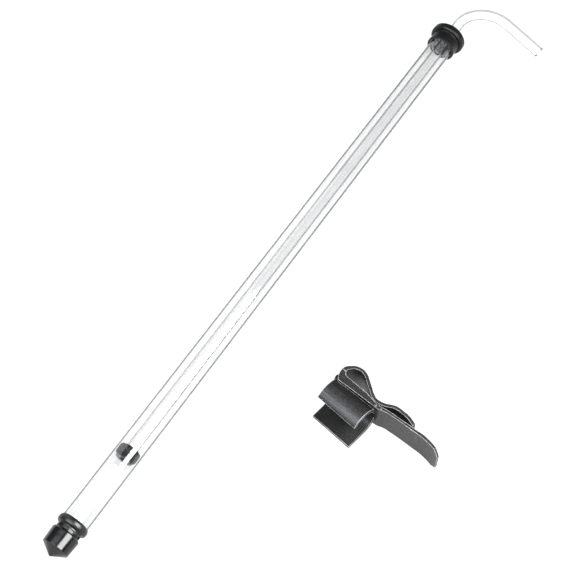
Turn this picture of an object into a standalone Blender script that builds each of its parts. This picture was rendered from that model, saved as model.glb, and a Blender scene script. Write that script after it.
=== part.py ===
"""Piston siphon pump with its bucket clamp, both lying on a table top.

The pump is a clear tube with a turned end fitting at its foot and a push-on cap at its head.
A bent clear cane carries a rubber piston up and down inside the tube.
The clamp is a springy clip: its channel snaps round the tube and its legs straddle a bucket wall.
World axes: +X from the pump's pointed tip to its cap, +Z up, origin at the bottom centre of it all.
"""
import math

import bmesh
import bpy
from mathutils import Matrix, Vector

MM = 0.001
ROUND_SIDES = 48
GAP = 0.3

# Driving dimensions, in millimetres. Stations run along the pump's axis from the tip's point.
TUBE_R = 10.5
TUBE_BORE_R = 9.0
CANE_R = 4.75
CANE_BORE_R = 3.25
FLANGE_R = 15.6
SKIRT_R = 12.6
COLLAR_R = 12.1
CONE_R = 10.6
TIP_BODY_R = 11.2
TIP_BORE_R = 9.7
NECK_R = 9.6
SPIGOT_R = 7.5
VALVE_BORE_R = 6.0
VALVE_SEAT_R = 4.2
RETAINER_POCKET_R = 8.6
BALL_R = 5.0

CONE_END = 6.3
SPIGOT_END = 9.0
BALL_STATION = 15.5
TIP_RIM = 19.6
NECK_END = 23.5
RETAINER_FLOOR = 22.6
TUBE_STOP = 25.0
COLLAR_END = 29.5
PISTON_FOOT = 85.7
PISTON_HEAD = 95.8
CAP_RIM = 552.3
CAP_WEB = 562.6
CAP_TOP = 569.7
TUBE_LENGTH = CAP_WEB - TUBE_STOP - 2 * GAP

CANE_FOOT = 88.6
BEND_START = 586.0
BEND_RADIUS = 29.0
BEND_ANGLE = 103.0
ARM_LENGTH = 39.2
ARM_DROOP = 8.4
CANE_SIDES = 32
BEND_STEPS = 20

NOTCH_COUNT = 6
RIB_COUNT = 6

# Clamp dimensions, in millimetres, in its own frame: x along the legs, y towards the wall, z up.
CLAMP_WIDTH = 28.0
CHANNEL_R = 14.0
CHANNEL_BORE_R = 11.2
CHANNEL_Y = -9.8
CHANNEL_START = -1.6
CHANNEL_END = 35.0
CHANNEL_RAKE = 0.07
CHANNEL_LIP_ANGLE = 139.5
CHANNEL_LIP_REACH = 17.0
LEG_END = 93.2
LEG_END_CHAMFER = 5.0
LOOP_SPLIT = (-1.65, 8.2)
LOOP_SPLIT_GAP = 0.8
FOOT_BAND = 3.9
SPRING_BAND = 2.6
SPRING_TAPER = 6.0
GUSSET_SHORT = 4.0

# The layout on the table, in millimetres.
PUMP_LENGTH = BEND_START + BEND_RADIUS + CANE_R
PUMP_PLACE = (-PUMP_LENGTH / 2, 88.18, FLANGE_R)
CLAMP_PLACE = (-87.86, -11.15, 0.0)
CLAMP_TURN = -101.0


def clear_scene():
    """Empty the scene before anything is built."""
    for old in list(bpy.data.objects):
        bpy.data.objects.remove(old, do_unlink=True)


def make_material(name, color, roughness, metallic=0.0, alpha=1.0):
    """A Principled material with the part's colour and finish."""
    material = bpy.data.materials.new(name)
    material.use_nodes = True
    shader = material.node_tree.nodes["Principled BSDF"]
    shader.inputs["Base Color"].default_value = (*color, 1.0)
    shader.inputs["Roughness"].default_value = roughness
    shader.inputs["Metallic"].default_value = metallic
    shader.inputs["Alpha"].default_value = alpha
    return material


def make_empty(name, place, turn_z=0.0, parent=None):
    """An empty that stands for a local frame, placed in millimetres."""
    empty = bpy.data.objects.new(name, None)
    bpy.context.scene.collection.objects.link(empty)
    empty.location = [value * MM for value in place]
    empty.rotation_euler.z = math.radians(turn_z)
    empty.parent = parent
    return empty


def finish_object(name, bm, material, parent, place=(0, 0, 0), smooth_angle=35):
    """Turn a bmesh, drawn in millimetres, into a named object in metres."""
    bmesh.ops.remove_doubles(bm, verts=bm.verts, dist=0.0005)
    bmesh.ops.recalc_face_normals(bm, faces=bm.faces)
    bmesh.ops.scale(bm, vec=(MM, MM, MM), verts=bm.verts)
    mesh = bpy.data.meshes.new(name)
    bm.to_mesh(mesh)
    bm.free()
    mesh.shade_smooth()
    mesh.set_sharp_from_angle(angle=math.radians(smooth_angle))
    obj = bpy.data.objects.new(name, mesh)
    bpy.context.scene.collection.objects.link(obj)
    obj.parent = parent
    obj.location = [value * MM for value in place]
    if material is not None:
        mesh.materials.append(material)
    return obj


def turn_profile(profile, sides=ROUND_SIDES, closed=True):
    """Revolve (station, radius) points about X; a radius of 0 is a point on the axis."""
    bm = bmesh.new()
    rings = []
    for station, radius in profile:
        if radius == 0:
            rings.append([bm.verts.new((station, 0, 0))])
            continue
        ring = []
        for side in range(sides):
            angle = 2 * math.pi * side / sides
            ring.append(bm.verts.new((station, radius * math.cos(angle), radius * math.sin(angle))))
        rings.append(ring)
    pairs = list(zip(rings, rings[1:]))
    if closed:
        pairs.append((rings[-1], rings[0]))
    for first, second in pairs:
        for side in range(sides):
            after = (side + 1) % sides
            corners = []
            corners += [first[side], first[after]] if len(first) > 1 else [first[0]]
            corners += [second[after], second[side]] if len(second) > 1 else [second[0]]
            if len(corners) > 2:
                bm.faces.new(corners)
    return bm


def add_boolean(obj, other, operation):
    """Join or cut with another object, which is then only a guide."""
    boolean = obj.modifiers.new(other.name, "BOOLEAN")
    boolean.operation = operation
    boolean.solver = "EXACT"
    boolean.object = other
    other.hide_render = True
    other.display_type = "WIRE"


def spoke_boxes(count, radius_low, radius_high, width, station_low, station_high, turn=0.0):
    """Equal boxes spaced round the X axis, for ribs and notches."""
    bm = bmesh.new()
    for index in range(count):
        box = bmesh.ops.create_cube(bm, size=1.0)["verts"]
        length = station_high - station_low
        depth = radius_high - radius_low
        bmesh.ops.scale(bm, vec=(length, depth, width), verts=box)
        middle = Vector(((station_low + station_high) / 2, (radius_low + radius_high) / 2, 0))
        bmesh.ops.translate(bm, vec=middle, verts=box)
        angle = 2 * math.pi * index / count + math.radians(turn)
        bmesh.ops.rotate(bm, cent=(0, 0, 0), matrix=Matrix.Rotation(angle, 3, "X"), verts=box)
    return bm


def smooth_line(points, steps=4):
    """A Catmull-Rom curve through the given (x, y) points."""
    points = [Vector(point) for point in points]
    points = [2 * points[0] - points[1]] + points + [2 * points[-1] - points[-2]]
    line = []
    for index in range(1, len(points) - 2):
        before, start, end, after = points[index - 1:index + 3]
        for step in range(steps):
            t = step / steps
            line.append(0.5 * (2 * start + (end - before) * t
                               + (2 * before - 5 * start + 4 * end - after) * t * t
                               + (3 * start - before - 3 * end + after) * t * t * t))
    line.append(points[-2])
    return line


def band_outline(line, thicknesses):
    """The closed outline of a band that follows a line, with a thickness at each of its points."""
    left = []
    right = []
    for index, point in enumerate(line):
        ahead = line[min(index + 1, len(line) - 1)]
        behind = line[max(index - 1, 0)]
        along = (ahead - behind).normalized()
        across = Vector((-along.y, along.x)) * (thicknesses[index] / 2)
        left.append(point + across)
        right.append(point - across)
    return left + right[::-1]


def extrude_outline(outline, low, high, upright=True):
    """Extrude a flat outline: along z when upright, along x from a (y, z) outline otherwise."""
    bm = bmesh.new()
    if upright:
        corners = [bm.verts.new((point[0], point[1], low)) for point in outline]
        shift = Vector((0, 0, high - low))
    else:
        corners = [bm.verts.new((low, point[0], point[1])) for point in outline]
        shift = Vector((high - low, 0, 0))
    face = bm.faces.new(corners)
    grown = bmesh.ops.extrude_face_region(bm, geom=[face])["geom"]
    new_corners = [item for item in grown if isinstance(item, bmesh.types.BMVert)]
    bmesh.ops.translate(bm, vec=shift, verts=new_corners)
    return bm


def cane_centre_line():
    """Points and directions along the cane's centre line, in the cane's own XY plane."""
    line = [(Vector((CANE_FOOT, 0, 0)), Vector((1, 0, 0)))]
    for step in range(BEND_STEPS + 1):
        angle = math.radians(BEND_ANGLE) * step / BEND_STEPS
        place = Vector((BEND_START + BEND_RADIUS * math.sin(angle),
                        -BEND_RADIUS * (1 - math.cos(angle)), 0))
        line.append((place, Vector((math.cos(angle), -math.sin(angle), 0))))
    place, along = line[-1]
    line.append((place + along * ARM_LENGTH, along))
    return line


def build_cane(material, parent):
    """The bent clear cane: an annulus swept along its centre line."""
    bm = bmesh.new()
    rings = []
    for place, along in cane_centre_line():
        across = Vector((0, 0, 1)).cross(along)
        ring = []
        for radius in (CANE_R, CANE_BORE_R):
            for side in range(CANE_SIDES):
                angle = 2 * math.pi * side / CANE_SIDES
                offset = across * math.cos(angle) + Vector((0, 0, 1)) * math.sin(angle)
                ring.append(bm.verts.new(place + offset * radius))
        rings.append(ring)
    for side in range(CANE_SIDES):
        after = (side + 1) % CANE_SIDES
        for first, second in zip(rings, rings[1:]):
            bm.faces.new((first[side], first[after], second[after], second[side]))
            bm.faces.new((first[side + CANE_SIDES], second[side + CANE_SIDES],
                          second[after + CANE_SIDES], first[after + CANE_SIDES]))
        for ring in (rings[0], rings[-1]):
            bm.faces.new((ring[side], ring[after], ring[after + CANE_SIDES], ring[side + CANE_SIDES]))
    cane = finish_object("racking_cane", bm, material, parent)
    cane.rotation_euler.x = math.radians(ARM_DROOP)
    return cane


def build_outer_tube(material, parent):
    """The clear pump tube."""
    start = TUBE_STOP + GAP
    end = start + TUBE_LENGTH
    profile = [(start, TUBE_R), (end, TUBE_R), (end, TUBE_BORE_R), (start, TUBE_BORE_R)]
    return finish_object("outer_tube", turn_profile(profile), material, parent)


def build_top_cap(material, parent):
    """The push-on cap: a skirt round the tube's end under a wide thumb flange."""
    skirt_bore = TUBE_R + GAP
    bead_r = SKIRT_R + 0.3
    groove_r = SKIRT_R - 0.5
    cane_hole_r = CANE_R + 0.35
    profile = [
        (CAP_RIM, skirt_bore), (CAP_WEB, skirt_bore), (CAP_WEB, cane_hole_r), (CAP_TOP, cane_hole_r),
        (CAP_TOP, FLANGE_R - 1.6), (CAP_TOP - 0.5, FLANGE_R - 0.5), (CAP_TOP - 1.6, FLANGE_R),
        (CAP_WEB + 1.7, FLANGE_R), (CAP_WEB + 0.7, FLANGE_R - 0.4), (CAP_WEB + 0.2, FLANGE_R - 1.4),
        (CAP_WEB + 0.2, groove_r), (CAP_WEB - 1.0, groove_r), (CAP_WEB - 1.0, SKIRT_R),
        (CAP_RIM + 2.2, SKIRT_R), (CAP_RIM + 1.8, bead_r), (CAP_RIM + 0.4, bead_r),
        (CAP_RIM, bead_r - 0.5),
    ]
    return finish_object("top_cap", turn_profile(profile), material, parent)


def build_valve_housing(material, parent):
    """The end fitting: a collar on the tube, a notched neck, and a spigot that holds the valve."""
    profile = [
        (SPIGOT_END, SPIGOT_R), (TIP_RIM + GAP, SPIGOT_R), (TIP_RIM + GAP, NECK_R),
        (NECK_END, NECK_R), (NECK_END, COLLAR_R - 1.2), (NECK_END + 0.4, COLLAR_R - 0.4),
        (NECK_END + 1.4, COLLAR_R), (COLLAR_END - 1.6, COLLAR_R), (COLLAR_END - 0.5, COLLAR_R - 0.5),
        (COLLAR_END, TUBE_R + GAP + 0.3), (COLLAR_END, TUBE_R + GAP), (TUBE_STOP, TUBE_R + GAP),
        (TUBE_STOP, RETAINER_POCKET_R), (RETAINER_FLOOR, RETAINER_POCKET_R),
        (RETAINER_FLOOR, VALVE_BORE_R), (SPIGOT_END + 5.2, VALVE_BORE_R),
        (SPIGOT_END + 3.2, VALVE_SEAT_R), (SPIGOT_END, VALVE_SEAT_R),
    ]
    housing = finish_object("valve_housing", turn_profile(profile), material, parent)
    cutter = spoke_boxes(NOTCH_COUNT, SPIGOT_R + 0.3, COLLAR_R, 4.2, TIP_RIM - 1, RETAINER_FLOOR - 0.3)
    add_boolean(housing, finish_object("inlet_notch_cutter", cutter, None, parent), "DIFFERENCE")
    return housing


def build_sediment_tip(material, parent):
    """The pull-off tip: a cone-ended cup whose inner ribs grip the spigot."""
    profile = [
        (0.0, 0), (0.2, 0.7), (CONE_END, CONE_R), (TIP_RIM - 1.3, TIP_BODY_R), (TIP_RIM, TIP_BODY_R - 0.9),
        (TIP_RIM, TIP_BORE_R), (CONE_END + 1.6, TIP_BORE_R), (CONE_END + 0.4, TIP_BORE_R - 1.2),
        (CONE_END - 2.6, 2.0), (CONE_END - 2.8, 0),
    ]
    tip = finish_object("sediment_tip", turn_profile(profile, closed=False), material, parent)
    ribs = spoke_boxes(RIB_COUNT, SPIGOT_R + GAP, TIP_BORE_R + 0.5, 1.3, SPIGOT_END - 0.6, TIP_RIM - 0.6,
                       turn=180 / RIB_COUNT)
    add_boolean(tip, finish_object("grip_rib_guide", ribs, None, parent), "UNION")
    return tip


def build_check_ball(material, parent):
    """The ball that seals the valve seat."""
    bm = bmesh.new()
    bmesh.ops.create_uvsphere(bm, u_segments=24, v_segments=16, radius=BALL_R)
    return finish_object("check_ball", bm, material, parent, place=(BALL_STATION, 0, 0))


def build_ball_retainer(material, parent):
    """The pierced disc over the valve that keeps the ball near its seat."""
    low = RETAINER_FLOOR + GAP
    high = TUBE_STOP - GAP
    rim = RETAINER_POCKET_R - GAP
    disc = [(low, 0), (low, rim), (high, rim), (high, 0)]
    retainer = finish_object("ball_retainer", turn_profile(disc, closed=False), material, parent)
    bm = bmesh.new()
    for index in range(4):
        angle = math.pi / 4 + index * math.pi / 2
        hole = bmesh.ops.create_cone(bm, cap_ends=True, segments=20, radius1=2.3, radius2=2.3, depth=6)
        turn = Matrix.Rotation(math.pi / 2, 3, "Y")
        bmesh.ops.rotate(bm, cent=(0, 0, 0), matrix=turn, verts=hole["verts"])
        middle = Vector(((low + high) / 2, 4.5 * math.cos(angle), 4.5 * math.sin(angle)))
        bmesh.ops.translate(bm, vec=middle, verts=hole["verts"])
    add_boolean(retainer, finish_object("flow_hole_cutter", bm, None, parent), "DIFFERENCE")
    return retainer


def build_piston_core(material, parent):
    """The socket at the cane's foot that carries the seal on its flange."""
    socket_r = CANE_R + GAP
    barrel_r = socket_r + 0.85
    floor = CANE_FOOT - GAP
    profile = [
        (PISTON_FOOT, CANE_BORE_R - 0.25), (PISTON_FOOT, 6.9), (PISTON_FOOT + 0.4, 7.3),
        (PISTON_FOOT + 1.2, 7.3), (PISTON_FOOT + 1.2, barrel_r), (PISTON_HEAD - 0.4, barrel_r),
        (PISTON_HEAD - 0.4, socket_r), (floor, socket_r), (floor, CANE_BORE_R - 0.25),
    ]
    return finish_object("piston_core", turn_profile(profile), material, parent)


def build_piston_seal(material, parent):
    """The barrel-shaped rubber seal that wipes the tube's bore."""
    foot = PISTON_FOOT + 1.2 + GAP
    hole_r = CANE_R + 2 * GAP + 0.85
    wipe_r = TUBE_BORE_R - 0.2
    profile = [
        (foot, hole_r), (foot, wipe_r - 1.5), (foot + 0.9, wipe_r - 0.4), (foot + 2.4, wipe_r),
        (PISTON_HEAD - 2.4, wipe_r), (PISTON_HEAD - 0.9, wipe_r - 0.4), (PISTON_HEAD, wipe_r - 1.5),
        (PISTON_HEAD, hole_r),
    ]
    return finish_object("piston_seal", turn_profile(profile), material, parent)


def channel_outline():
    """The clamp's channel in section: an open ring with a flat lip tangent to its underside."""
    centre = Vector((CHANNEL_Y, CLAMP_WIDTH / 2))
    sweep = CHANNEL_LIP_ANGLE + 90
    steps = 28
    outer = []
    inner = []
    for step in range(steps + 1):
        angle = math.radians(CHANNEL_LIP_ANGLE - sweep * step / steps)
        along = Vector((math.cos(angle), math.sin(angle)))
        outer.append(centre + CHANNEL_R * along)
        inner.append(centre + CHANNEL_BORE_R * along)
    lip_end = CHANNEL_Y - CHANNEL_LIP_REACH
    wall = CHANNEL_R - CHANNEL_BORE_R
    lip = [Vector((lip_end, 0)), Vector((lip_end, wall - 0.4))]
    return outer + lip + inner[::-1]


FOOT_OUTER = [(-3.6, LOOP_SPLIT[1] - LOOP_SPLIT_GAP / 2), (-3.3, 5.2), (-2.4, 2.6), (-1.1, 0.2), (0.6, -1.2)]
TUBE_SIDE = [(0.6, -1.2), (4.0, -1.1), (11.5, -0.4), (23.0, 0.3), (35.0, 1.0), (38.5, 1.5), (41.0, 2.4),
             (44.0, 3.5), (52.0, 4.6), (60.0, 5.4), (68.0, 6.0), (76.0, 6.6), (84.0, 6.3), (90.0, 5.0),
             (LEG_END, 3.8)]
WALL_SIDE = [(LEG_END, 6.0), (89.8, 7.3), (84.0, 8.7), (76.0, 9.3), (68.0, 8.4), (60.0, 7.5), (52.0, 6.6),
             (44.0, 5.7), (39.5, 4.7), (36.0, 4.2), (32.0, 4.3), (27.0, 5.0), (22.0, 5.3), (12.0, 5.3),
             (4.0, 5.3), (2.0, 5.6), (0.8, 6.5), (0.3, LOOP_SPLIT[1] - LOOP_SPLIT_GAP / 2)]
GUSSET = [(1.0, -1.4), (-3.4, -1.4), (-4.5, 1.6), (-4.3, 3.2), (-2.2, 4.0), (1.0, 3.0)]
SPRING_LINE = [(LOOP_SPLIT[0], LOOP_SPLIT[1] + LOOP_SPLIT_GAP / 2), (-1.25, 10.4), (0.35, 12.8), (2.6, 15.0),
               (5.6, 16.4), (9.05, 16.85), (13.4, 15.8), (17.3, 13.5), (21.4, 10.9), (25.8, 8.2), (30.5, 6.05),
               (34.5, 6.1), (38.7, 7.3), (42.2, 9.2), (45.2, 11.1), (49.0, 11.95), (53.5, 12.15), (58.2, 12.05),
               (61.9, 11.1), (65.2, 10.1)]


def build_clamp_clip(material, parent):
    """The clamp's fixed half: the channel, the inner leg, the loop's foot and the gusset behind it."""
    outline = smooth_line(FOOT_OUTER, 2)[:-1] + smooth_line(TUBE_SIDE, 2) + smooth_line(WALL_SIDE, 2)
    clip = finish_object("clamp_clip", extrude_outline(outline, 0.0, CLAMP_WIDTH), material, parent)
    channel = extrude_outline(channel_outline(), CHANNEL_START, CHANNEL_END, upright=False)
    for vert in channel.verts:
        vert.co.x -= CHANNEL_RAKE * (vert.co.z - CLAMP_WIDTH / 2)
    add_boolean(clip, finish_object("channel_guide", channel, None, parent), "UNION")
    gusset = extrude_outline(GUSSET, GUSSET_SHORT, CLAMP_WIDTH - GUSSET_SHORT)
    add_boolean(clip, finish_object("gusset_guide", gusset, None, parent), "UNION")
    bore = bmesh.new()
    bmesh.ops.create_cone(bore, cap_ends=True, segments=64, radius1=CHANNEL_BORE_R - 0.01,
                          radius2=CHANNEL_BORE_R - 0.01, depth=2 * (CHANNEL_END + 0.5))
    bmesh.ops.rotate(bore, cent=(0, 0, 0), matrix=Matrix.Rotation(math.pi / 2, 3, "Y"), verts=bore.verts)
    bmesh.ops.translate(bore, vec=(0, CHANNEL_Y, CLAMP_WIDTH / 2), verts=bore.verts)
    add_boolean(clip, finish_object("channel_bore_cutter", bore, None, parent), "DIFFERENCE")
    corners = bmesh.new()
    for height in (0.0, CLAMP_WIDTH):
        box = bmesh.ops.create_cube(corners, size=LEG_END_CHAMFER * math.sqrt(2))["verts"]
        bmesh.ops.scale(corners, vec=(1, 6, 1), verts=box)
        bmesh.ops.rotate(corners, cent=(0, 0, 0), matrix=Matrix.Rotation(math.pi / 4, 3, "Y"), verts=box)
        bmesh.ops.translate(corners, vec=(LEG_END, 7, height), verts=box)
    add_boolean(clip, finish_object("leg_corner_cutter", corners, None, parent), "DIFFERENCE")
    return clip


def build_clamp_spring_leg(material, pivot):
    """The clamp's moving half: the rest of the loop, the pinch and the outer leg."""
    line = smooth_line(SPRING_LINE)
    thicknesses = []
    for point in line:
        share = 1.0
        if point.x < SPRING_TAPER:
            share = min(1.0, max(0.0, (point.y - LOOP_SPLIT[1]) / SPRING_TAPER))
        thicknesses.append(FOOT_BAND + (SPRING_BAND - FOOT_BAND) * share)
    local_line = [point - Vector(LOOP_SPLIT) for point in line]
    leg = extrude_outline(band_outline(local_line, thicknesses), 0.0, CLAMP_WIDTH)
    return finish_object("clamp_spring_leg", leg, material, pivot)


def main():
    """Build every part on its frame."""
    clear_scene()
    clear_plastic = make_material("clear_plastic", (0.90, 0.92, 0.93), 0.08, alpha=0.25)
    black_plastic = make_material("black_plastic", (0.016, 0.017, 0.018), 0.28)
    clamp_plastic = make_material("clamp_plastic", (0.045, 0.048, 0.05), 0.38)
    rubber = make_material("seal_rubber", (0.03, 0.03, 0.032), 0.75)
    ball_plastic = make_material("ball_plastic", (0.80, 0.80, 0.78), 0.35)

    pump = make_empty("pump_frame", PUMP_PLACE)
    build_outer_tube(clear_plastic, pump)
    build_top_cap(black_plastic, pump)
    build_valve_housing(black_plastic, pump)
    build_sediment_tip(black_plastic, pump)
    build_check_ball(ball_plastic, pump)
    build_ball_retainer(black_plastic, pump)
    build_cane(clear_plastic, pump)
    build_piston_core(black_plastic, pump)
    build_piston_seal(rubber, pump)

    clamp = make_empty("clamp_frame", CLAMP_PLACE, CLAMP_TURN)
    pivot = make_empty("clamp_loop_pivot", (*LOOP_SPLIT, 0.0), parent=clamp)
    build_clamp_clip(clamp_plastic, clamp)
    build_clamp_spring_leg(clamp_plastic, pivot)


main()
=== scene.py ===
"""The looks of the siphon pump and its bucket clamp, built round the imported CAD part."""

import math

import bmesh
import bpy
from mathutils import Matrix, Vector


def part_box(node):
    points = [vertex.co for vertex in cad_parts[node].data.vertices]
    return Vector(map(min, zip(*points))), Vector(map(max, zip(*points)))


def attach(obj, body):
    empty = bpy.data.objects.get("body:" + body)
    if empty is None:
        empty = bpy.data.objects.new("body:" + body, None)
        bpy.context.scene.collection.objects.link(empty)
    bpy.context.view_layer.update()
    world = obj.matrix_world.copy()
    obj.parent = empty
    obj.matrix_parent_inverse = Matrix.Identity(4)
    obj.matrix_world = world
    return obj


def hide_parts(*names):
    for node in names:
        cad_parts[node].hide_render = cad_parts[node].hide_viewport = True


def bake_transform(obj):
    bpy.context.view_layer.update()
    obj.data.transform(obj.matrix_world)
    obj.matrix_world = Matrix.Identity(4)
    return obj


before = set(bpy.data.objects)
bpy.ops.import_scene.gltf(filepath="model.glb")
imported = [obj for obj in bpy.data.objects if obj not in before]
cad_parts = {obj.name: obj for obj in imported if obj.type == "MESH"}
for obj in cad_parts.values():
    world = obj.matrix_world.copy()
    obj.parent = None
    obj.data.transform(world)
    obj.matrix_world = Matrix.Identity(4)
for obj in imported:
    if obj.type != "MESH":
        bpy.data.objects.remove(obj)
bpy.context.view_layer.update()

MM = 0.001

# ---------------------------------------------------------------- places, read from the CAD boxes
tube_low, tube_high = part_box("outer_tube")
tip_low, tip_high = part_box("sediment_tip")
housing_low, housing_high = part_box("valve_housing")
cap_low, cap_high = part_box("top_cap")
piston_low, piston_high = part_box("piston_core")
seal_low, seal_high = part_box("piston_seal")
cane_low, cane_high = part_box("racking_cane")

AXIS_START = Vector((tip_low.x, (tube_low.y + tube_high.y) / 2, (tube_low.z + tube_high.z) / 2))


def station(x):
    """The distance in millimetres from the tip's point to a place along the pump."""
    return (x - tip_low.x) / MM


TUBE_FOOT = station(tube_low.x)
TUBE_HEAD = station(tube_high.x)
TUBE_R = (tube_high.z - tube_low.z) / MM / 2
TUBE_WALL = 1.5
TIP_RIM = station(tip_high.x)
TIP_R = (tip_high.z - tip_low.z) / MM / 2
HOUSING_FOOT = station(housing_low.x)
COLLAR_HEAD = station(housing_high.x)
COLLAR_R = (housing_high.z - housing_low.z) / MM / 2
CAP_RIM = station(cap_low.x)
CAP_TOP = station(cap_high.x)
FLANGE_R = (cap_high.z - cap_low.z) / MM / 2
PISTON_FOOT = station(piston_low.x)
PISTON_HEAD = station(piston_high.x)
SEAL_FOOT = station(seal_low.x)
SEAL_HEAD = station(seal_high.x)
SEAL_R = (seal_high.z - seal_low.z) / MM / 2
CANE_FOOT = station(cane_low.x)
CANE_OUTER = station(cane_high.x)

# Sizes the boxes don't give, in millimetres.
CANE_R = 4.75
CANE_WALL = 1.5
BEND_RADIUS = 29.0
BEND_ANGLE = 103.0
ARM_LENGTH = 39.2
ARM_DROOP = 8.4
FIT_GAP = 0.3

TURN_SIDES = 96

# How a profile's corners are rounded.
LEAST_TURN = math.radians(8)
CURVE_SHARE = 0.45
GUARD_REACH = 1.3
GUARD_SHARE = 0.49


# ---------------------------------------------------------------- mesh helpers
def rounded(profile, radius, steps=4, closed=True):
    """The profile with its corners rounded.

    A curve takes at most CURVE_SHARE of each side. A guard point just past its ends keeps long faces
    shaded flat, where the side has room for one within GUARD_SHARE. Turns under LEAST_TURN stay sharp.
    """
    line = []
    count = len(profile)
    for index, corner in enumerate(profile):
        here = Vector(corner)
        if not closed and index in (0, count - 1):
            line.append(here)
            continue
        before = Vector(profile[index - 1]) - here
        after = Vector(profile[(index + 1) % count]) - here
        turn = math.pi - before.angle(after)
        if turn < LEAST_TURN:
            line.append(here)
            continue
        reach = min(radius * math.tan(turn / 2), CURVE_SHARE * before.length, CURVE_SHARE * after.length)
        guard = GUARD_REACH * reach
        start = here + before.normalized() * reach
        end = here + after.normalized() * reach
        if guard < GUARD_SHARE * before.length:
            line.append(here + before.normalized() * guard)
        for step in range(steps + 1):
            t = step / steps
            line.append(start * (1 - t) ** 2 + here * 2 * t * (1 - t) + end * t * t)
        if guard < GUARD_SHARE * after.length:
            line.append(here + after.normalized() * guard)
    return line


def lathe(profile, closed=True, sides=TURN_SIDES):
    """A bmesh turned about the X axis from (station, radius) points; radius 0 is on the axis."""
    bm = bmesh.new()
    rings = []
    for place, radius in profile:
        if radius < 1e-6:
            rings.append([bm.verts.new((place, 0, 0))])
            continue
        ring = []
        for side in range(sides):
            angle = 2 * math.pi * side / sides
            ring.append(bm.verts.new((place, radius * math.cos(angle), radius * math.sin(angle))))
        rings.append(ring)
    pairs = list(zip(rings, rings[1:]))
    if closed:
        pairs.append((rings[-1], rings[0]))
    for first, second in pairs:
        for side in range(sides):
            after = (side + 1) % sides
            corners = [first[side], first[after]] if len(first) > 1 else [first[0]]
            corners += [second[after], second[side]] if len(second) > 1 else [second[0]]
            if len(corners) > 2:
                bm.faces.new(corners)
    return bm


def to_object(name, bm, place=AXIS_START, turn=None, smooth_angle=35):
    """A bmesh drawn in millimetres as a named object in metres, its mesh in world places."""
    bmesh.ops.recalc_face_normals(bm, faces=bm.faces)
    matrix = Matrix.Translation(place) @ (turn or Matrix.Identity(4)) @ Matrix.Scale(MM, 4)
    bmesh.ops.transform(bm, matrix=matrix, verts=bm.verts)
    mesh = bpy.data.meshes.new(name)
    bm.to_mesh(mesh)
    bm.free()
    mesh.shade_smooth()
    mesh.set_sharp_from_angle(angle=math.radians(smooth_angle))
    obj = bpy.data.objects.new(name, mesh)
    bpy.context.scene.collection.objects.link(obj)
    return obj


def apply_modifiers(obj):
    """Bake an object's modifiers into its mesh."""
    graph = bpy.context.evaluated_depsgraph_get()
    graph.update()
    mesh = bpy.data.meshes.new_from_object(obj.evaluated_get(graph))
    old = obj.data
    obj.modifiers.clear()
    obj.data = mesh
    mesh.name = obj.name
    bpy.data.meshes.remove(old)


def boolean(obj, other, operation):
    """Join or cut with another object, which is used up."""
    modifier = obj.modifiers.new("join", "BOOLEAN")
    modifier.operation = operation
    modifier.solver = "EXACT"
    modifier.object = other
    apply_modifiers(obj)
    mesh = other.data
    bpy.data.objects.remove(other)
    bpy.data.meshes.remove(mesh)


def soften(obj, width, segments=2, angle=40, smooth_angle=35, keep=None):
    """Round an object's sharp edges, save those whose both ends are to be kept, and shade it smooth."""
    bm = bmesh.new()
    bm.from_mesh(obj.data)
    bmesh.ops.remove_doubles(bm, verts=bm.verts, dist=0.01 * MM)
    weight = bm.edges.layers.float.new("bevel_weight_edge")
    for edge in bm.edges:
        sharp = edge.calc_face_angle(0.0) > math.radians(angle)
        kept = keep is not None and all(keep(vert.co) for vert in edge.verts)
        edge[weight] = 1.0 if sharp and not kept else 0.0
    bm.to_mesh(obj.data)
    bm.free()
    bevel = obj.modifiers.new("edges", "BEVEL")
    bevel.width = width * MM
    bevel.segments = segments
    bevel.limit_method = "WEIGHT"
    apply_modifiers(obj)
    obj.data.shade_smooth()
    obj.data.set_sharp_from_angle(angle=math.radians(smooth_angle))


def smooth_line(points, steps=6):
    """A Catmull-Rom curve through the given (x, y) points."""
    points = [Vector(point) for point in points]
    points = [2 * points[0] - points[1]] + points + [2 * points[-1] - points[-2]]
    line = []
    for index in range(1, len(points) - 2):
        before, start, end, after = points[index - 1:index + 3]
        for step in range(steps):
            t = step / steps
            line.append(0.5 * (2 * start + (end - before) * t
                               + (2 * before - 5 * start + 4 * end - after) * t * t
                               + (3 * start - before - 3 * end + after) * t * t * t))
    line.append(points[-2])
    return line


def band_outline(line, widths):
    """The closed outline of a band that follows a line, with a width at each of its points."""
    left = []
    right = []
    for index, point in enumerate(line):
        ahead = line[min(index + 1, len(line) - 1)]
        behind = line[max(index - 1, 0)]
        along = (ahead - behind).normalized()
        across = Vector((-along.y, along.x)) * (widths[index] / 2)
        left.append(point + across)
        right.append(point - across)
    return left + right[::-1]


def extrude_outline(outline, low, high, upright=True):
    """Extrude a flat outline along z, or along x from a (y, z) outline when not upright."""
    bm = bmesh.new()
    if upright:
        corners = [bm.verts.new((point[0], point[1], low)) for point in outline]
        shift = Vector((0, 0, high - low))
    else:
        corners = [bm.verts.new((low, point[0], point[1])) for point in outline]
        shift = Vector((high - low, 0, 0))
    face = bm.faces.new(corners)
    grown = bmesh.ops.extrude_face_region(bm, geom=[face])["geom"]
    new_corners = [item for item in grown if isinstance(item, bmesh.types.BMVert)]
    bmesh.ops.translate(bm, vec=shift, verts=new_corners)
    return bm


# ---------------------------------------------------------------- materials
# The walls that a piece's vertices are marked with.
OUTER_WALL = "outer_wall"
PAINTED_BORE_LIGHT = "painted_bore_light"

ACRYLIC_IOR = 1.49
ACRYLIC_TINT = (0.85, 0.85, 0.85, 1.0)
BLACK_IOR = 1.42
CLAMP_IOR = 1.5
CLAMP_GLOSS = 0.44
RUBBER_GLOSS = 0.05


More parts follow.
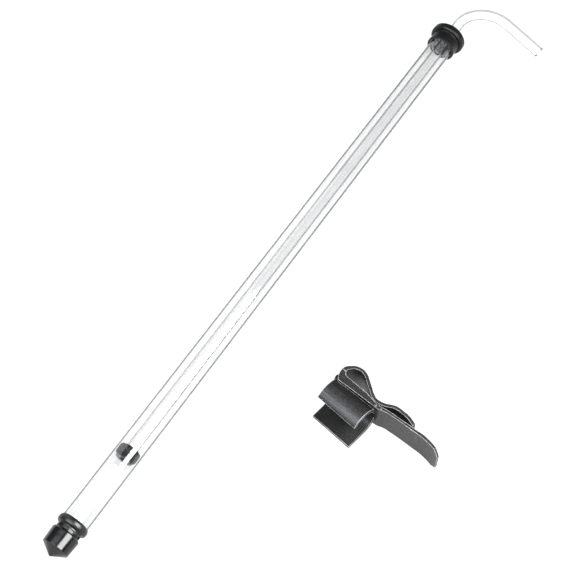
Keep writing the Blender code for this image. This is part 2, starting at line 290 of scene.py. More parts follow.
def mark(obj, name, is_marked):
    """Note on each vertex of a piece whether it belongs to a named wall."""
    attribute = obj.data.attributes.new(name, "FLOAT", "POINT")
    for index, vert in enumerate(obj.data.vertices):
        attribute.data[index].value = 1.0 if is_marked(index, vert.co) else 0.0


def marked(tree, name):
    """The value a piece's vertices carry under a name."""
    node = tree.nodes.new("ShaderNodeAttribute")
    node.attribute_name = name
    return node.outputs["Fac"]


def new_material(name, color, roughness):
    """A Principled material; returns its node tree and shader too."""
    material = bpy.data.materials.new(name)
    material.use_nodes = True
    tree = material.node_tree
    shader = tree.nodes["Principled BSDF"]
    shader.inputs["Base Color"].default_value = (*color, 1.0)
    shader.inputs["Roughness"].default_value = roughness
    return material, tree, shader


def noise(tree, size, detail=3.0, stretch=(1, 1, 1), roughness=0.5):
    """A noise value whose grains are about size millimetres, longer along a stretched axis."""
    coordinates = tree.nodes.new("ShaderNodeTexCoord")
    mapping = tree.nodes.new("ShaderNodeMapping")
    mapping.inputs["Scale"].default_value = [1 / (MM * size * share) for share in stretch]
    texture = tree.nodes.new("ShaderNodeTexNoise")
    texture.inputs["Scale"].default_value = 1.0
    texture.inputs["Detail"].default_value = detail
    texture.inputs["Roughness"].default_value = roughness
    tree.links.new(coordinates.outputs["Object"], mapping.inputs["Vector"])
    tree.links.new(mapping.outputs["Vector"], texture.inputs["Vector"])
    return texture.outputs["Fac"]


def ranged(tree, value, low, high, source_low=0.3, source_high=0.7):
    """A value mapped to a range."""
    node = tree.nodes.new("ShaderNodeMapRange")
    node.inputs["From Min"].default_value = source_low
    node.inputs["From Max"].default_value = source_high
    node.inputs["To Min"].default_value = low
    node.inputs["To Max"].default_value = high
    tree.links.new(value, node.inputs["Value"])
    return node.outputs["Result"]


def tinted(tree, value, dark, light, source_low=0.3, source_high=0.7):
    """A colour that runs from dark to light with a value."""
    ramp = tree.nodes.new("ShaderNodeValToRGB")
    ramp.color_ramp.elements[0].position = source_low
    ramp.color_ramp.elements[0].color = (*dark, 1.0)
    ramp.color_ramp.elements[1].position = source_high
    ramp.color_ramp.elements[1].color = (*light, 1.0)
    tree.links.new(value, ramp.inputs["Fac"])
    return ramp.outputs["Color"]


def bumped(tree, shader, *heights):
    """Bump from (value, height in millimetres) pairs, chained."""
    normal = None
    for value, height in heights:
        bump = tree.nodes.new("ShaderNodeBump")
        bump.inputs["Strength"].default_value = 1.0
        bump.inputs["Distance"].default_value = height * MM
        tree.links.new(value, bump.inputs["Height"])
        if normal is not None:
            tree.links.new(normal, bump.inputs["Normal"])
        normal = bump.outputs["Normal"]
    tree.links.new(normal, shader.inputs["Normal"])


def multiplied(tree, first, second):
    """The product of two values."""
    node = tree.nodes.new("ShaderNodeMath")
    node.operation = "MULTIPLY"
    tree.links.new(first, node.inputs[0])
    tree.links.new(second, node.inputs[1])
    return node.outputs["Value"]


def mixed(tree, factor, first, second, blend="MIX"):
    """Two colours mixed by a factor; each of the three is a value or a socket."""
    node = tree.nodes.new("ShaderNodeMix")
    node.data_type = "RGBA"
    node.blend_type = blend
    for socket, value in (("Factor", factor), ("A", first), ("B", second)):
        if isinstance(value, bpy.types.NodeSocket):
            tree.links.new(value, node.inputs[socket])
        elif isinstance(value, tuple):
            node.inputs[socket].default_value = (*value, 1.0)
        else:
            node.inputs[socket].default_value = value
    return node.outputs["Result"]


def clear_acrylic(name, clear, edge, slant_from, slant_to, streak, lines, ripple):
    """Clear extruded plastic, with faint drawing lines, and painted shade: grey where a ray leaves it at a
    glancing angle.

    The painted shade runs in between the two slants, on the outer wall only. lines and ripple are each a
    noise's size, detail and stretch.
    """
    material, tree, shader = new_material(name, (0.99, 0.995, 0.995), 0.015)
    shader.inputs["IOR"].default_value = ACRYLIC_IOR
    shader.inputs["Transmission Weight"].default_value = 1.0
    shader.inputs["Specular Tint"].default_value = ACRYLIC_TINT
    facing = tree.nodes.new("ShaderNodeLayerWeight")
    facing.inputs["Blend"].default_value = 0.5
    geometry = tree.nodes.new("ShaderNodeNewGeometry")
    edge_shade_mask = ranged(tree, facing.outputs["Facing"], 0.0, 1.0, slant_from, slant_to)
    leaving = multiplied(tree, geometry.outputs["Backfacing"], marked(tree, OUTER_WALL))
    # Painted shade: the dark lines along the clear pieces' edges are painted into the colour here.
    wall = mixed(tree, multiplied(tree, edge_shade_mask, leaving), clear, edge)
    drawn = tinted(tree, noise(tree, *lines), (streak, streak, streak), (1.0, 1.0, 1.0),
                   source_low=0.36, source_high=0.56)
    tree.links.new(mixed(tree, 1.0, wall, drawn, "MULTIPLY"), shader.inputs["Base Color"])
    bumped(tree, shader, (noise(tree, *ripple), 0.006))
    return material


def moulded_black(name, tone, edge_highlight_grey, rough_low, rough_high, gloss):
    """Moulded black plastic: cloudy gloss over a fine grain, with a painted highlight on its edges and
    painted light in a marked bore.
    """
    material, tree, shader = new_material(name, tone, rough_low)
    cloud_lift = 1.9
    light = tuple(value * cloud_lift for value in tone)
    body_tone = tinted(tree, noise(tree, 5.0, detail=4.0), tone, light)
    painted_edge_highlight = edge_mask(tree, radius=0.5, grain=4.0)
    # Painted highlight: the edges are painted a lighter grey where they would catch the light.
    edged = mixed(tree, painted_edge_highlight, body_tone, (edge_highlight_grey, edge_highlight_grey, edge_highlight_grey))
    # Painted light: a marked bore is painted a mottled lighter grey, for the light seen inside it.
    bore_light_mottle = tinted(tree, noise(tree, 2.6, detail=3.0), (0.02, 0.02, 0.02), (0.16, 0.16, 0.16),
                    source_low=0.4, source_high=0.6)
    tree.links.new(mixed(tree, marked(tree, PAINTED_BORE_LIGHT), edged, bore_light_mottle), shader.inputs["Base Color"])
    roughness = ranged(tree, noise(tree, 2.2, detail=4.0), rough_low, rough_high)
    tree.links.new(roughness, shader.inputs["Roughness"])
    shader.inputs["IOR"].default_value = BLACK_IOR
    shader.inputs["Specular IOR Level"].default_value = gloss
    grain = noise(tree, 0.5, detail=2.0)
    waves = noise(tree, 6.0, detail=1.0)
    bumped(tree, shader, (grain, 0.006), (waves, 0.03))
    return material


def edge_mask(tree, radius, grain):
    """1 on a piece's edges, over a radius in millimetres, broken up by a noise; 0 on its faces."""
    bevel_samples = 6
    face_alignment = 0.985
    edge_alignment = 0.9
    geometry = tree.nodes.new("ShaderNodeNewGeometry")
    eased = tree.nodes.new("ShaderNodeBevel")
    eased.samples = bevel_samples
    eased.inputs["Radius"].default_value = radius * MM
    aligned = tree.nodes.new("ShaderNodeVectorMath")
    aligned.operation = "DOT_PRODUCT"
    tree.links.new(eased.outputs["Normal"], aligned.inputs[0])
    tree.links.new(geometry.outputs["Normal"], aligned.inputs[1])
    edge = ranged(tree, aligned.outputs["Value"], 0.0, 1.0, face_alignment, edge_alignment)
    return multiplied(tree, edge, ranged(tree, noise(tree, grain, detail=4.0), 0.25, 1.0))


def satin_clamp_plastic():
    """The clamp's springy grey-black plastic: fine grain, flow clouds, scuffs that catch the light, and a
    painted highlight of pale grey on its edges.
    """
    material, tree, shader = new_material("satin_clamp_plastic", (0.03, 0.031, 0.033), 0.38)
    flow = noise(tree, 14.0, detail=5.0, stretch=(1, 2.2, 1), roughness=0.6)
    body_tone = tinted(tree, flow, (0.0012, 0.001, 0.001), (0.004, 0.0034, 0.0034))
    painted_edge_highlight = edge_mask(tree, radius=0.8, grain=5.0)
    # Painted highlight: the edges are painted pale grey where they would catch the light.
    tree.links.new(mixed(tree, painted_edge_highlight, body_tone, (0.34, 0.34, 0.345)), shader.inputs["Base Color"])
    gloss = noise(tree, 1.3, detail=5.0, roughness=0.65)
    tree.links.new(ranged(tree, gloss, 0.3, 0.54), shader.inputs["Roughness"])
    shader.inputs["IOR"].default_value = CLAMP_IOR
    shader.inputs["Specular IOR Level"].default_value = CLAMP_GLOSS
    grain = noise(tree, 1.5, detail=4.0)
    scuffs = noise(tree, 1.4, detail=3.0, stretch=(1, 14, 1))
    waves = noise(tree, 7.0, detail=1.0)
    bumped(tree, shader, (grain, 0.11), (scuffs, 0.06), (waves, 0.05))
    return material


def seal_rubber():
    """The piston's dark rubber, dull, with wiped rings and a fine dusty grain."""
    material, tree, shader = new_material("seal_rubber_look", (0.05, 0.05, 0.052), 0.6)
    cloud = tinted(tree, noise(tree, 3.5, detail=4.0), (0.004, 0.004, 0.0041), (0.009, 0.009, 0.0092))
    tree.links.new(cloud, shader.inputs["Base Color"])
    tree.links.new(ranged(tree, noise(tree, 1.0, detail=3.0), 0.45, 0.7), shader.inputs["Roughness"])
    shader.inputs["Specular IOR Level"].default_value = RUBBER_GLOSS
    dust = noise(tree, 0.4, detail=2.0)
    rings = noise(tree, 1.2, detail=1.0, stretch=(0.5, 4, 4))
    bumped(tree, shader, (dust, 0.015), (rings, 0.03))
    return material


def ball_plastic():
    """The check ball's off-white plastic, faintly stained."""
    material, tree, shader = new_material("ball_plastic_look", (0.72, 0.72, 0.7), 0.35)
    stain = tinted(tree, noise(tree, 4.0, detail=4.0), (0.66, 0.66, 0.63), (0.78, 0.78, 0.76))
    tree.links.new(stain, shader.inputs["Base Color"])
    tree.links.new(ranged(tree, noise(tree, 0.8, detail=3.0), 0.28, 0.42), shader.inputs["Roughness"])
    bumped(tree, shader, (noise(tree, 0.5, detail=2.0), 0.008))
    return material


def dress(obj, material):
    """Give a piece its material."""
    obj.data.materials.clear()
    obj.data.materials.append(material)


# ---------------------------------------------------------------- the pump's pieces
def spokes(count, radius_low, radius_high, width, start, end, turn=0.0):
    """Equal boxes spaced round the X axis."""
    bm = bmesh.new()
    for index in range(count):
        box = bmesh.ops.create_cube(bm, size=1.0)["verts"]
        bmesh.ops.scale(bm, vec=(end - start, radius_high - radius_low, width), verts=box)
        middle = Vector(((start + end) / 2, (radius_low + radius_high) / 2, 0))
        bmesh.ops.translate(bm, vec=middle, verts=box)
        angle = 2 * math.pi * index / count + math.radians(turn)
        bmesh.ops.rotate(bm, cent=(0, 0, 0), matrix=Matrix.Rotation(angle, 3, "X"), verts=box)
    return bm


def make_tube():
    """The clear pump tube, its cut ends lightly polished round."""
    profile = [(TUBE_FOOT, TUBE_R), (TUBE_HEAD, TUBE_R),
               (TUBE_HEAD, TUBE_R - TUBE_WALL), (TUBE_FOOT, TUBE_R - TUBE_WALL)]
    tube = to_object("clear_tube", lathe(rounded(profile, 0.35, 3), sides=128))
    middle_r = (TUBE_R - TUBE_WALL / 2) * MM
    mark(tube, OUTER_WALL, lambda index, place: (place - AXIS_START).yz.length > middle_r)
    return tube


def make_cane():
    """The bent clear cane, swept along its own centre line; the bend is drawn a little oval."""
    sides = 64
    bend_steps = 48
    straight_steps = 10
    arm_steps = 6
    flattening = 0.035
    bevel = 0.3
    bend_start = CANE_OUTER - BEND_RADIUS - CANE_R
    line = []
    for step in range(straight_steps):
        place = CANE_FOOT + (bend_start - CANE_FOOT) * step / straight_steps
        line.append((Vector((place, 0, 0)), Vector((1, 0, 0)), 0.0))
    for step in range(bend_steps + 1):
        share = step / bend_steps
        angle = math.radians(BEND_ANGLE) * share
        ahead = bend_start + BEND_RADIUS * math.sin(angle)
        aside = -BEND_RADIUS * (1 - math.cos(angle))
        along = Vector((math.cos(angle), -math.sin(angle), 0))
        line.append((Vector((ahead, aside, 0)), along, math.sin(math.pi * share)))
    place, along, _ = line[-1]
    for step in range(1, arm_steps + 1):
        line.append((place + along * ARM_LENGTH * step / arm_steps, along, 0.0))
    outer_r = CANE_R
    inner_r = CANE_R - CANE_WALL
    bm = bmesh.new()
    rings = []
    for index, (place, along, squeeze) in enumerate(line):
        across = Vector((0, 0, 1)).cross(along)
        last = index == len(line) - 1
        first = index == 0
        steps = [(0.0, outer_r, inner_r)]
        if last:
            steps = [(-2 * bevel, outer_r, inner_r), (-bevel, outer_r, inner_r),
                     (0.0, outer_r - bevel, inner_r + bevel)]
        if first:
            steps = [(0.0, outer_r - bevel, inner_r + bevel), (bevel, outer_r, inner_r),
                     (2 * bevel, outer_r, inner_r)]
        for shift, wide, narrow in steps:
            ring = []
            for radius in (wide, narrow):
                for side in range(sides):
                    angle = 2 * math.pi * side / sides
                    flat = 1 - flattening * squeeze
                    offset = across * math.cos(angle) * flat + Vector((0, 0, 1)) * math.sin(angle)
                    ring.append(bm.verts.new(place + along * shift + offset * radius))
            rings.append(ring)
    for side in range(sides):
        after = (side + 1) % sides
        for first_ring, second_ring in zip(rings, rings[1:]):
            bm.faces.new((first_ring[side], first_ring[after], second_ring[after], second_ring[side]))
            bm.faces.new((first_ring[side + sides], second_ring[side + sides],
                          second_ring[after + sides], first_ring[after + sides]))
        for ring in (rings[0], rings[-1]):
            bm.faces.new((ring[side], ring[after], ring[after + sides], ring[side + sides]))
    droop = Matrix.Rotation(math.radians(ARM_DROOP), 4, "X")
    cane = to_object("clear_cane", bm, turn=droop)
    mark(cane, OUTER_WALL, lambda index, place: index % (2 * sides) < sides)
    return cane


def make_cap():
    """The push-on cap: beaded skirt, groove, thick rounded thumb flange and a shallow dished top."""
    web = TUBE_HEAD + FIT_GAP
    skirt_r = 12.6
    bead_r = skirt_r + 0.3
    groove_r = skirt_r - 0.5
    bore_r = TUBE_R + FIT_GAP
    hole_r = CANE_R + 0.35
    profile = [
        (CAP_RIM, bore_r), (web, bore_r), (web, hole_r), (CAP_TOP - 0.9, hole_r),
        (CAP_TOP - 0.9, hole_r + 1.6), (CAP_TOP - 0.5, hole_r + 2.2), (CAP_TOP, FLANGE_R - 3.4),
        (CAP_TOP, FLANGE_R - 1.2), (CAP_TOP - 1.3, FLANGE_R), (web + 1.5, FLANGE_R),
        (web + 0.2, FLANGE_R - 1.2), (web + 0.2, groove_r), (web - 1.0, groove_r), (web - 1.0, skirt_r),
        (CAP_RIM + 2.2, skirt_r), (CAP_RIM + 1.9, bead_r), (CAP_RIM, bead_r),
    ]
    cap = to_object("thumb_cap", lathe(rounded(profile, 0.45, 4)))
    bore_edge = (bore_r + 0.05) * MM
    # Painted light: inside the bore's radius the cap is painted mottled light grey, fading across the
    # rim's face into a painted bright arc at its inner edge.
    mark(cap, PAINTED_BORE_LIGHT, lambda index, place: (place - AXIS_START).yz.length < bore_edge)
    return cap


def make_housing():
    """The end fitting: a rounded collar, the notched neck and the spigot inside the tip."""
    neck_r = 9.6
    spigot_r = 7.5
    neck_foot = TIP_RIM + FIT_GAP
    neck_head = 23.5
    tube_stop = TUBE_FOOT - FIT_GAP
    socket_r = TUBE_R + FIT_GAP
    pocket_r = 8.6
    pocket_floor = 22.6
    chamber_r = 6.0
    inlet_r = 4.2
    notch_width = 4.2
    profile = [
        (HOUSING_FOOT, spigot_r), (neck_foot, spigot_r), (neck_foot, neck_r), (neck_head, neck_r),
        (neck_head, COLLAR_R - 1.3), (neck_head + 0.7, COLLAR_R - 0.5),
        (neck_head + 1.9, COLLAR_R - 0.08), (neck_head + 3.0, COLLAR_R),
        (COLLAR_HEAD - 1.9, COLLAR_R - 0.12), (COLLAR_HEAD - 0.7, COLLAR_R - 0.6),
        (COLLAR_HEAD, socket_r + 0.2), (COLLAR_HEAD, socket_r), (tube_stop, socket_r),
        (tube_stop, pocket_r), (pocket_floor, pocket_r), (pocket_floor, chamber_r),
        (HOUSING_FOOT + 5.2, chamber_r), (HOUSING_FOOT + 3.2, inlet_r), (HOUSING_FOOT, inlet_r),
    ]
    housing = to_object("end_fitting", lathe(rounded(profile, 0.7, 4)))
    notches = spokes(6, spigot_r + 0.3, COLLAR_R, notch_width, TIP_RIM - 1, pocket_floor - 0.3)
    boolean(housing, to_object("notch_cutter", notches), "DIFFERENCE")
    housing.data.shade_smooth()
    housing.data.set_sharp_from_angle(angle=math.radians(32))
    return housing


def make_tip():
    """The pull-off tip: a blunt cone on a slightly tapered body, ribbed inside."""
    cone_end = 6.3
    cone_r = TIP_R - 0.6
    bore_r = 9.7
    rib_inner_r = 7.8
    rib_width = 1.3
    smooth_angle = 28
    profile = [
        (0.0, 0.0), (0.0, 0.35), (cone_end, cone_r), (TIP_RIM - 1.3, TIP_R), (TIP_RIM, TIP_R - 0.9),
        (TIP_RIM, bore_r), (cone_end + 1.6, bore_r), (cone_end + 0.4, bore_r - 1.2),
        (cone_end - 2.6, 2.0), (cone_end - 2.8, 0.0),
    ]
    outline = rounded(profile, 0.3, 3, closed=False)
    tip = to_object("cone_tip", lathe(outline, closed=False), smooth_angle=smooth_angle)
    ribs = spokes(6, rib_inner_r, bore_r + 0.5, rib_width, HOUSING_FOOT - 0.6, TIP_RIM - 0.6, turn=30)
    boolean(tip, to_object("rib_guide", ribs), "UNION")
    tip.data.shade_smooth()
    tip.data.set_sharp_from_angle(angle=math.radians(smooth_angle))
    return tip


def make_piston():
    """The socket that holds the cane's foot, and the barrel seal round it."""
    socket_r = CANE_R + FIT_GAP
    barrel_r = socket_r + 0.85
    throat_r = CANE_R - CANE_WALL - 0.25
    lip_r = 7.3
    core = [
        (PISTON_FOOT, throat_r), (PISTON_FOOT, lip_r - 0.4), (PISTON_FOOT + 0.4, lip_r),
        (SEAL_FOOT - FIT_GAP, lip_r),
        (SEAL_FOOT - FIT_GAP, barrel_r), (PISTON_HEAD, barrel_r), (PISTON_HEAD, socket_r),
        (CANE_FOOT - FIT_GAP, socket_r), (CANE_FOOT - FIT_GAP, throat_r),
    ]
    hole_r = barrel_r + FIT_GAP
    seal = [
        (SEAL_FOOT, hole_r), (SEAL_FOOT, SEAL_R - 1.5), (SEAL_FOOT + 0.6, SEAL_R - 0.5),
        (SEAL_FOOT + 1.6, SEAL_R), (SEAL_FOOT + 2.8, SEAL_R - 0.05), (SEAL_FOOT + 3.3, SEAL_R - 0.45),
        (SEAL_FOOT + 3.8, SEAL_R - 0.05), (SEAL_HEAD - 2.4, SEAL_R), (SEAL_HEAD - 0.8, SEAL_R - 0.6),
        (SEAL_HEAD, SEAL_R - 2.0), (SEAL_HEAD, hole_r),
    ]
    return (to_object("piston_socket", lathe(rounded(core, 0.25, 3))),
            to_object("piston_rubber", lathe(rounded(seal, 0.4, 4))))


# ---------------------------------------------------------------- the clamp
CLAMP_TURN = math.radians(-101.0)
CLAMP_WIDTH = 28.0
CHANNEL_R = 14.0
CHANNEL_BORE_R = 11.2
CHANNEL_Y = -9.8
CHANNEL_START = -1.6
CHANNEL_END = 35.0
CHANNEL_RAKE = 0.07
LIP_ANGLE = 139.5
LIP_REACH = 17.0
LIP_TIP = 2.4
LEG_END = 93.2
SPLIT_Y = 7.8
FOOT_BAND = 3.9
SPRING_BAND = 2.6
SPRING_TAPER = 6.0
GUSSET_SHORT = 4.0
NUB_PLACES = [(34.6, 2.4), (39.5, 3.2)]
NUB_R = 0.7
NUB_SUNK = 0.3
CORNER_CUT = 5.0
EDGE_RADIUS = 0.45
SPLIT_TOLERANCE = 0.01

# Outlines in the clamp's own frame: x along the legs, y towards the wall.
FOOT_OUTER = [(-3.6, SPLIT_Y), (-3.3, 5.2), (-2.4, 2.6), (-1.1, 0.2), (0.6, -1.2)]
TUBE_SIDE = [(0.6, -1.2), (4.0, -1.1), (11.5, -0.4), (23.0, 0.3), (35.0, 1.0), (38.5, 1.5), (41.0, 2.4),
             (44.0, 3.5), (52.0, 4.6), (60.0, 5.4), (68.0, 6.0), (76.0, 6.6), (84.0, 6.3), (90.0, 5.0),
             (LEG_END, 3.8)]
WALL_SIDE = [(LEG_END, 6.0), (89.8, 7.3), (84.0, 8.7), (76.0, 9.3), (68.0, 8.4), (60.0, 7.5), (52.0, 6.6),
             (44.0, 5.7), (39.5, 4.7), (36.0, 4.2), (32.0, 4.3), (27.0, 5.0), (22.0, 5.3), (12.0, 5.3),
             (4.0, 5.3), (2.0, 5.6), (0.8, 6.5), (0.3, SPLIT_Y)]
GUSSET = [(1.0, -1.4), (-3.4, -1.4), (-4.5, 1.6), (-4.3, 3.2), (-2.2, 4.0), (1.0, 3.0)]
SPRING_LINE = [(-1.65, SPLIT_Y), (-1.62, 8.6), (-1.25, 10.4), (0.35, 12.8), (2.6, 15.0), (5.6, 16.4),
               (9.05, 16.85), (13.4, 15.8), (17.3, 13.5), (21.4, 10.9), (25.8, 8.2), (30.5, 6.05),
               (34.5, 6.1), (38.7, 7.3), (42.2, 9.2), (45.2, 11.1), (49.0, 11.95), (53.5, 12.15),
               (58.2, 12.05), (61.9, 11.1), (65.2, 10.1)]

clamp_low, clamp_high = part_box("clamp_clip")


def clamp_place():
    """The clamp frame's origin, from the two corners of its outline that touch the CAD clip's box."""
    turn = Matrix.Rotation(CLAMP_TURN, 2)
    foot_corner = turn @ Vector(FOOT_OUTER[0])
    leg_corner = turn @ Vector(WALL_SIDE[0])
    return Vector((clamp_high.x - foot_corner.x * MM, clamp_low.y - leg_corner.y * MM, clamp_low.z))


def channel_outline():
    """The channel in section: an open ring with a flat lip along the table."""
    centre = Vector((CHANNEL_Y, CLAMP_WIDTH / 2))
    sweep = LIP_ANGLE + 90
    steps = 72
    outer = []
    inner = []
    for step in range(steps + 1):
        angle = math.radians(LIP_ANGLE - sweep * step / steps)
        along = Vector((math.cos(angle), math.sin(angle)))
        outer.append(centre + CHANNEL_R * along)
        inner.append(centre + CHANNEL_BORE_R * along)
    lip_end = CHANNEL_Y - LIP_REACH
    lip = [Vector((lip_end, 0)), Vector((lip_end, LIP_TIP))]
    return outer + lip + inner[::-1]


def band_solid(line, widths, low, high):
    """A band of four-cornered sections that follows a line, from one height to another."""
    outline = band_outline(line, widths)
    count = len(line)
    bm = bmesh.new()
    sections = []
    for index in range(count):
        left = outline[index]
        right = outline[2 * count - 1 - index]
        sections.append([bm.verts.new((*corner, height)) for corner, height in
                         ((left, low), (left, high), (right, high), (right, low))])
    for first, second in zip(sections, sections[1:]):
        for side in range(4):
            after = (side + 1) % 4
            bm.faces.new((first[side], first[after], second[after], second[side]))
    bm.faces.new(sections[0])
    bm.faces.new(sections[-1][::-1])
    return bm


def make_clamp(origin):
    """The clamp's two visual halves: the rigid channel and leg, and the springy loop and outer leg."""
    turn = Matrix.Rotation(CLAMP_TURN, 4, "Z")

    def placed(name, bm):
        return to_object(name, bm, place=origin, turn=turn)

    def on_split(point):
        local = turn.inverted() @ (point - origin) / MM
        return abs(local.y - SPLIT_Y) < SPLIT_TOLERANCE and local.x < 1.0

    outline = smooth_line(FOOT_OUTER)[:-1] + smooth_line(TUBE_SIDE) + smooth_line(WALL_SIDE)
    body = placed("clamp_body", extrude_outline(outline, 0.0, CLAMP_WIDTH))
    channel = extrude_outline(channel_outline(), CHANNEL_START, CHANNEL_END, upright=False)
    for vert in channel.verts:
        vert.co.x -= CHANNEL_RAKE * (vert.co.z - CLAMP_WIDTH / 2)
    boolean(body, placed("channel_guide", channel), "UNION")
    gusset = extrude_outline(GUSSET, GUSSET_SHORT, CLAMP_WIDTH - GUSSET_SHORT)
    boolean(body, placed("gusset_guide", gusset), "UNION")
    bore = bmesh.new()
    bmesh.ops.create_cone(bore, cap_ends=True, segments=128, depth=80,
                          radius1=CHANNEL_BORE_R, radius2=CHANNEL_BORE_R)
    bmesh.ops.rotate(bore, cent=(0, 0, 0), matrix=Matrix.Rotation(math.pi / 2, 3, "Y"), verts=bore.verts)
    bmesh.ops.translate(bore, vec=(0, CHANNEL_Y, CLAMP_WIDTH / 2), verts=bore.verts)
    boolean(body, placed("bore_cutter", bore), "DIFFERENCE")
    corners = bmesh.new()
    for height in (0.0, CLAMP_WIDTH):
        box = bmesh.ops.create_cube(corners, size=CORNER_CUT * math.sqrt(2))["verts"]
        bmesh.ops.scale(corners, vec=(1, 6, 1), verts=box)
        bmesh.ops.rotate(corners, cent=(0, 0, 0), matrix=Matrix.Rotation(math.pi / 4, 3, "Y"), verts=box)
        bmesh.ops.translate(corners, vec=(LEG_END, 7, height), verts=box)
    boolean(body, placed("corner_cutter", corners), "DIFFERENCE")
    nubs = bmesh.new()
    for place in NUB_PLACES:
        nub = bmesh.ops.create_uvsphere(nubs, u_segments=16, v_segments=10, radius=NUB_R)["verts"]
        bmesh.ops.translate(nubs, vec=(*place, CLAMP_WIDTH - NUB_SUNK), verts=nub)
    boolean(body, placed("nub_guide", nubs), "UNION")
    soften(body, EDGE_RADIUS, 3, keep=on_split)

    line = smooth_line(SPRING_LINE)
    widths = []
    for point in line:
        share = 1.0
        if point.x < SPRING_TAPER:
            share = min(1.0, max(0.0, (point.y - SPLIT_Y) / SPRING_TAPER))
        widths.append(FOOT_BAND + (SPRING_BAND - FOOT_BAND) * share)
    spring = placed("clamp_spring", band_solid(line, widths, 0.0, CLAMP_WIDTH))
    soften(spring, EDGE_RADIUS, 3, keep=on_split)
    return body, spring


# ---------------------------------------------------------------- build the object
# Each edge colour is painted shade: the colour of the dark lines along a clear piece's edges.
acrylic_tube = clear_acrylic("clear_tube_acrylic", clear=(0.88, 0.882, 0.883), edge=(0.01, 0.011, 0.011),
                             slant_from=0.19, slant_to=0.205, streak=0.93,
                             lines=(1.7, 2.0, (160, 1, 1)), ripple=(2.4, 1.0, (120, 1, 1)))
acrylic_cane = clear_acrylic("clear_cane_acrylic", clear=(0.97, 0.972, 0.972), edge=(0.09, 0.093, 0.095),
                             slant_from=0.15, slant_to=0.2, streak=0.985,
                             lines=(9.0, 2.0), ripple=(14.0, 1.0))
BLACK_TONE = (0.0018, 0.0018, 0.0019)
cap_black = moulded_black("cap_black_plastic", BLACK_TONE, edge_highlight_grey=0.16,
                          rough_low=0.28, rough_high=0.42, gloss=0.26)
fitting_black = moulded_black("fitting_black_plastic", BLACK_TONE, edge_highlight_grey=0.02,
                              rough_low=0.13, rough_high=0.22, gloss=0.5)
collar_black = moulded_black("collar_black_plastic", BLACK_TONE, edge_highlight_grey=0.03,
                             rough_low=0.28, rough_high=0.4, gloss=0.5)
clamp_grey = satin_clamp_plastic()
rubber = seal_rubber()
ball_white = ball_plastic()

tube = make_tube()
cane = make_cane()
cap = make_cap()
housing = make_housing()
tip = make_tip()
socket, seal = make_piston()

clamp_origin = clamp_place()
clamp_body, clamp_spring = make_clamp(clamp_origin)

for piece, node, body_name, look, slot_name in (
        (tube, "outer_tube", "pump_tube", acrylic_tube, "clear_plastic"),
        (cane, "racking_cane", "cane", acrylic_cane, "clear_plastic"),
        (cap, "top_cap", "cap", cap_black, "black_plastic"),
        (housing, "valve_housing", "pump_tube", collar_black, "black_plastic"),
        (tip, "sediment_tip", "tip", fitting_black, "black_plastic"),
        (socket, "piston_core", "piston", fitting_black, "black_plastic"),
        (seal, "piston_seal", "piston", rubber, "seal_rubber"),
        (clamp_body, "clamp_clip", "clamp", clamp_grey, "clamp_plastic")):
    dress(piece, look)
    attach(piece, body_name)
    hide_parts(node)

dress(clamp_spring, clamp_grey)
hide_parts("clamp_spring_leg")
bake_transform(clamp_spring)

dress(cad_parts["check_ball"], ball_white)
dress(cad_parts["ball_retainer"], fitting_black)

# The clear pieces let the light through to what lies inside and under them.
for clear_piece in (tube, cane):
    clear_piece.visible_shadow = False


# ---------------------------------------------------------------- floor, light and camera
FLOOR_REACH = 4.0
FLOOR_HEIGHT = -0.0002
FLOOR_GLOW = 0.95

PANEL_DISTANCE = 0.95
ROOM_GREY = (0.16, 0.163, 0.168, 1.0)
CLAMP_BOX_SHIFT = (-0.50, 0.34, 0.80)
CLAMP_BOX_COLOR = (0.93, 0.98, 1.07)

CAMERA_PLACE = (-0.456719, -0.206217, 0.863792)
CAMERA_FORWARD = (0.42596, 0.27729, -0.86120)
CAMERA_RIGHT = (0.54519, -0.83831, -0.00027)
CAMERA_LENS = 78.376
CAMERA_SENSOR = 36.0


def make_floor():
    """A plain white table top under everything."""
    bm = bmesh.new()
    corners = [bm.verts.new((x * FLOOR_REACH, y * FLOOR_REACH, FLOOR_HEIGHT))
               for x, y in ((-1, -1), (1, -1), (1, 1), (-1, 1))]
    bm.faces.new(corners)
    mesh = bpy.data.meshes.new("table_top")
    bm.to_mesh(mesh)
    bm.free()
    floor = bpy.data.objects.new("table_top", mesh)
    bpy.context.scene.collection.objects.link(floor)
    material, _, shader = new_material("table_white", (0.08, 0.08, 0.08), 0.9)
    shader.inputs["Specular IOR Level"].default_value = 0.0
    shader.inputs["Emission Color"].default_value = (1.0, 1.0, 1.0, 1.0)
    shader.inputs["Emission Strength"].default_value = FLOOR_GLOW
    mesh.materials.append(material)


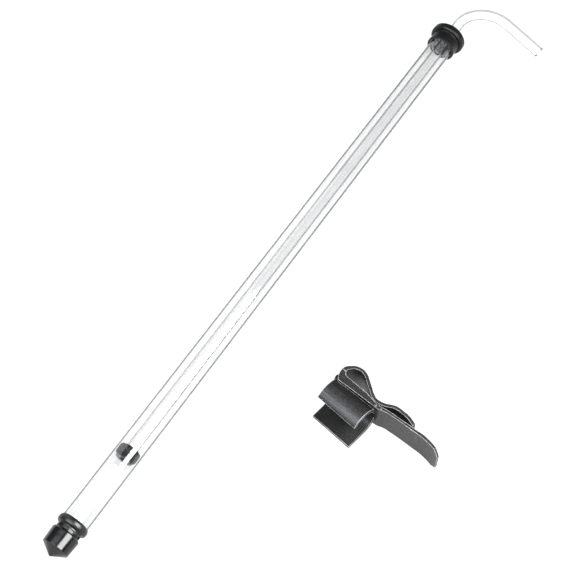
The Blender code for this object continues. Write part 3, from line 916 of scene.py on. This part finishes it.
def area_light(name, place, target, size, radiance):
    """A rectangular soft light of one brightness, hidden from the camera itself."""
    data = bpy.data.lights.new(name, "AREA")
    data.shape = "RECTANGLE"
    data.size, data.size_y = size
    data.energy = radiance * math.pi * size[0] * size[1]
    light = bpy.data.objects.new(name, data)
    light.location = place
    direction = Vector(target) - Vector(place)
    across = Vector((1, 0, 0))
    down = -direction.normalized()
    across = (across - down * across.dot(down)).normalized()
    up = down.cross(across)
    light.rotation_euler = Matrix((across, up, down)).transposed().to_euler()
    light.visible_camera = False
    bpy.context.scene.collection.objects.link(light)
    return light


def panel(name, middle, side, near, far, along, length, radiance):
    """A panel parallel to the pump, on one side of it, between two angles from straight above."""
    high_edge = Vector((0, side * math.sin(near), math.cos(near))) * PANEL_DISTANCE
    low_edge = Vector((0, side * math.sin(far), math.cos(far))) * PANEL_DISTANCE
    shift = Vector((along, 0, 0))
    area_light(name, middle + (high_edge + low_edge) / 2 + shift, middle + shift,
               (length, (high_edge - low_edge).length), radiance)


def make_lights():
    """A long softbox on the clamp's side, a dim panel across from it, a box for the clamp, a grey room."""
    middle = AXIS_START.copy()
    middle.x = 0.0
    panel("softbox", middle, side=-1, near=math.radians(24), far=math.radians(64),
          along=-0.05, length=0.8, radiance=24.0)
    panel("dim_panel", middle, side=1, near=math.radians(26), far=math.radians(84),
          along=0.25, length=0.66, radiance=1.7)
    clamp_middle = (clamp_low + clamp_high) / 2
    clamp_box = area_light("clamp_box", clamp_middle + Vector(CLAMP_BOX_SHIFT), clamp_middle,
                           size=(0.8, 0.8), radiance=8.5)
    clamp_box.data.color = CLAMP_BOX_COLOR
    world = bpy.data.worlds.new("grey_room")
    world.use_nodes = True
    background = world.node_tree.nodes["Background"]
    background.inputs["Color"].default_value = ROOM_GREY
    background.inputs["Strength"].default_value = 1.0
    bpy.context.scene.world = world


def make_camera():
    """A level camera above the pump's foot, looking along it and down."""
    data = bpy.data.cameras.new("camera")
    data.sensor_width = CAMERA_SENSOR
    data.lens = CAMERA_LENS
    data.clip_start = 0.01
    data.clip_end = 20.0
    camera = bpy.data.objects.new("camera", data)
    forward = Vector(CAMERA_FORWARD).normalized()
    right = Vector(CAMERA_RIGHT)
    right = (right - forward * right.dot(forward)).normalized()
    up = right.cross(forward)
    turn = Matrix((right, up, -forward)).transposed().to_4x4()
    camera.matrix_world = Matrix.Translation(CAMERA_PLACE) @ turn
    bpy.context.scene.collection.objects.link(camera)
    bpy.context.scene.camera = camera


make_floor()
make_lights()
make_camera()
bpy.context.scene.view_settings.view_transform = "Standard"
